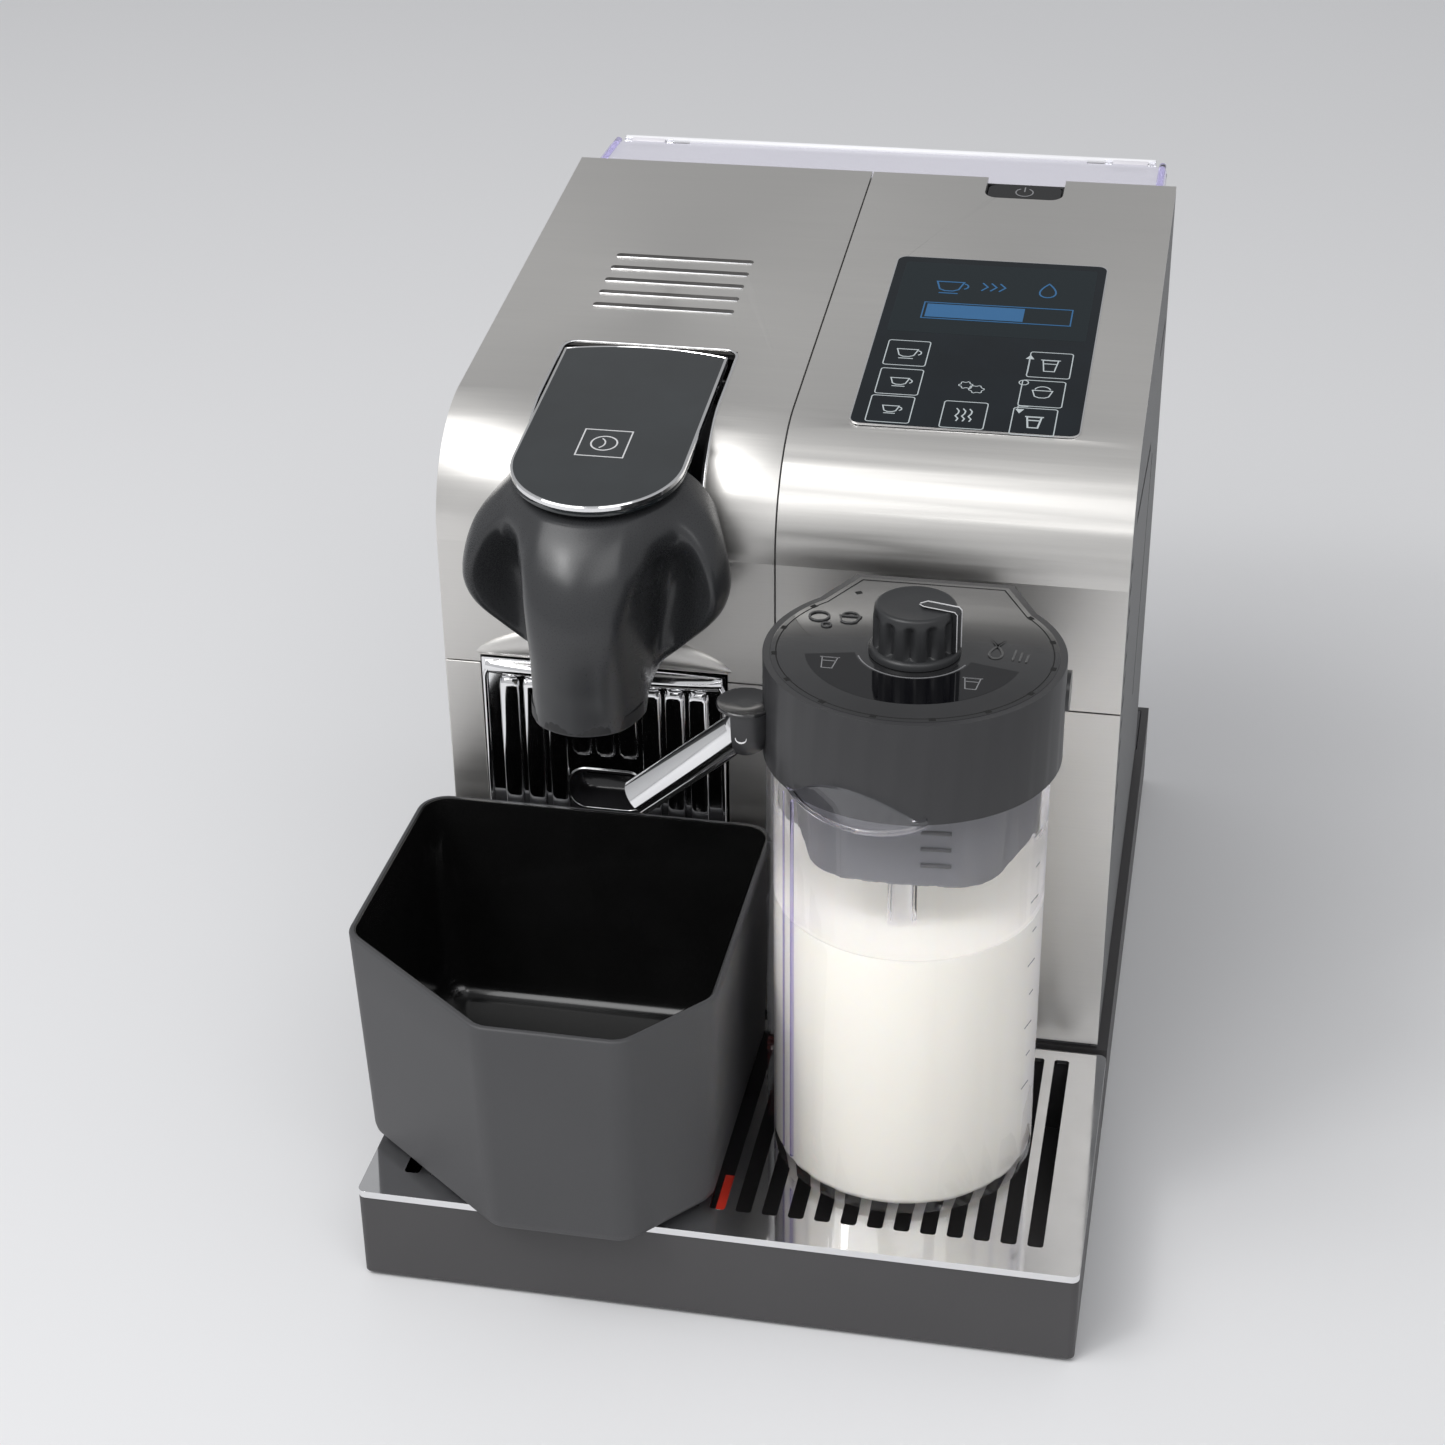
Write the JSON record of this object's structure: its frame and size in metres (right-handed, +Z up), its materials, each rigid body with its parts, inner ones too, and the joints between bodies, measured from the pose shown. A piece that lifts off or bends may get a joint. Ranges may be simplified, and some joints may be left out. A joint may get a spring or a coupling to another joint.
{
  "type": "capsule coffee machine",
  "caption": "Capsule coffee machine with a steel body, flip-up lever, milk jug with frothing lid, slotted drip tray, loose bin and lift-off water tank.",
  "frame": {"origin": "middle of the whole footprint, on the table", "axes": "+Z up, -Y towards the user, +X to the user's right as they face the machine"},
  "size_m": [0.203, 0.325, 0.235],
  "materials": {
    "base_plastic": "satin moulded",
    "side_plastic": "fine grained",
    "charcoal_plastic": "satin moulded",
    "bin_plastic": "satin outside, glossy inside",
    "inner_plastic": "moulded",
    "black_plastic": "gloss",
    "brushed_steel": "brushed across",
    "bright_chrome": "polished",
    "pin_steel": "turned",
    "lever_gloss": "mirror gloss",
    "display_gloss": "mirror gloss",
    "circuit_board": "lacquered board",
    "clear_tank": "clear moulded plastic",
    "clear_jug": "clear moulded plastic",
    "foot_rubber": "matt",
    "pump_plastic": "moulded",
    "heater_alloy": "cast",
    "hose_rubber": "translucent silicone",
    "float_red": "moulded",
    "tube_plastic": "moulded",
    "seal_rubber": "soft"
  },
  "bodies": {
    "machine": {"base_pan": "base_plastic", "rubber_feet": "foot_rubber", "bottom_cover": "inner_plastic", "chassis_screws": "pin_steel", "front_shell": "inner_plastic", "left_side_panel": "side_plastic", "right_side_panel": "side_plastic", "rear_cover": "side_plastic", "tank_cradle": "inner_plastic", "cord_gland": "black_plastic", "coffee_side_steel": "brushed_steel", "milk_side_steel": "brushed_steel", "lower_left_steel": "brushed_steel", "lower_right_steel": "brushed_steel", "display_glass": "display_gloss", "display_board": "circuit_board", "power_button_cup": "black_plastic", "control_board": "circuit_board", "brew_frame": "inner_plastic", "capsule_holder": "inner_plastic", "lever_pin": "pin_steel", "coffee_head": "charcoal_plastic", "coffee_outlet": "black_plastic", "head_back_plate": "inner_plastic", "water_pump": "pump_plastic", "pump_mounts": "foot_rubber", "heating_block": "heater_alloy", "flow_meter": "pump_plastic", "cold_hose": "hose_rubber", "hot_hose": "hose_rubber", "steam_valve": "pump_plastic", "steam_nozzle": "bright_chrome"},
    "power_key": {"power_button": "black_plastic"},
    "lever": {"lever_plate": "lever_gloss", "lever_rim": "bright_chrome", "lever_arm": "inner_plastic"},
    "piston": {"brew_piston": "bright_chrome", "piston_rod": "brushed_steel"},
    "tank": {"water_tank": "clear_tank", "tank_valve": "black_plastic", "tank_hinge_pin": "pin_steel"},
    "tank_flap": {"tank_lid": "clear_tank"},
    "tray": {"drip_tray": "base_plastic", "drip_grille": "bright_chrome", "ribbed_front": "bright_chrome", "capsule_bin": "inner_plastic"},
    "float": {"tray_float": "float_red"},
    "bin": {"loose_bin": "bin_plastic"},
    "jug": {"milk_jug": "clear_jug"},
    "lid": {"jug_lid": "charcoal_plastic", "lid_dial_face": "black_plastic", "lid_insert": "side_plastic", "milk_suction_tube": "tube_plastic", "lid_seal": "seal_rubber", "spout_socket": "charcoal_plastic"},
    "knob": {"froth_knob": "black_plastic"},
    "spout": {"milk_spout": "bright_chrome"},
    "left_key": {"left_release_button": "charcoal_plastic"},
    "right_key": {"right_release_button": "charcoal_plastic"}
  },
  "joints": [
    {"name": "lever_hinge", "type": "hinge", "parent": "machine", "child": "lever", "pos_m": [-0.044, -0.00056, 0.21035], "axis": [-1, 0, 0], "range_deg": [0, 90]},
    {"name": "piston_slide", "type": "slide", "parent": "machine", "child": "piston", "axis": [0, 1, 0], "range_m": [0, 0.02]},
    {"name": "power_press", "type": "slide", "parent": "machine", "child": "power_key", "axis": [0, 0.134, -0.991], "range_m": [0, 0.0015], "stiffness_N_per_m": 400, "springref_m": -0.001},
    {"name": "tray_slide", "type": "slide", "parent": "machine", "child": "tray", "axis": [0, -1, 0], "range_m": [0, 0.045]},
    {"name": "float_rise", "type": "slide", "parent": "tray", "child": "float", "axis": [0, 0, 1], "range_m": [0, 0.004]},
    {"name": "bin_slide", "type": "slide", "parent": "tray", "child": "bin", "axis": [0, -1, 0], "range_m": [0, 0.16]},
    {"name": "jug_dock", "type": "slide", "parent": "machine", "child": "jug", "axis": [0, -1, 0], "range_m": [0, 0.16]},
    {"name": "lid_lift", "type": "slide", "parent": "jug", "child": "lid", "axis": [0, 0, 1], "range_m": [0, 0.14]},
    {"name": "froth_turn", "type": "hinge", "parent": "lid", "child": "knob", "pos_m": [0.0475, -0.098, 0.19], "axis": [0, 0, 1], "range_deg": [-75, 135]},
    {"name": "spout_tilt", "type": "hinge", "parent": "lid", "child": "spout", "pos_m": [0.0057, -0.1085, 0.16393], "axis": [0, 1, 0], "range_deg": [-8, 38]},
    {"name": "left_release_press", "type": "slide", "parent": "lid", "child": "left_key", "axis": [1, 0, 0], "range_m": [0, 0.0012], "stiffness_N_per_m": 400, "springref_m": -0.001},
    {"name": "right_release_press", "type": "slide", "parent": "lid", "child": "right_key", "axis": [-1, 0, 0], "range_m": [0, 0.0012], "stiffness_N_per_m": 400, "springref_m": -0.001},
    {"name": "tank_lift", "type": "slide", "parent": "machine", "child": "tank", "axis": [0, 0, 1], "range_m": [0, 0.2]},
    {"name": "tank_flap_hinge", "type": "hinge", "parent": "tank", "child": "tank_flap", "pos_m": [0.0025, 0.1591, 0.2314], "axis": [-1, 0, 0], "range_deg": [0, 95]}
  ],
  "couplings": [
    {"joint": "piston_slide", "follows": "lever_hinge", "m_per_rad": 0.012732}
  ]
}
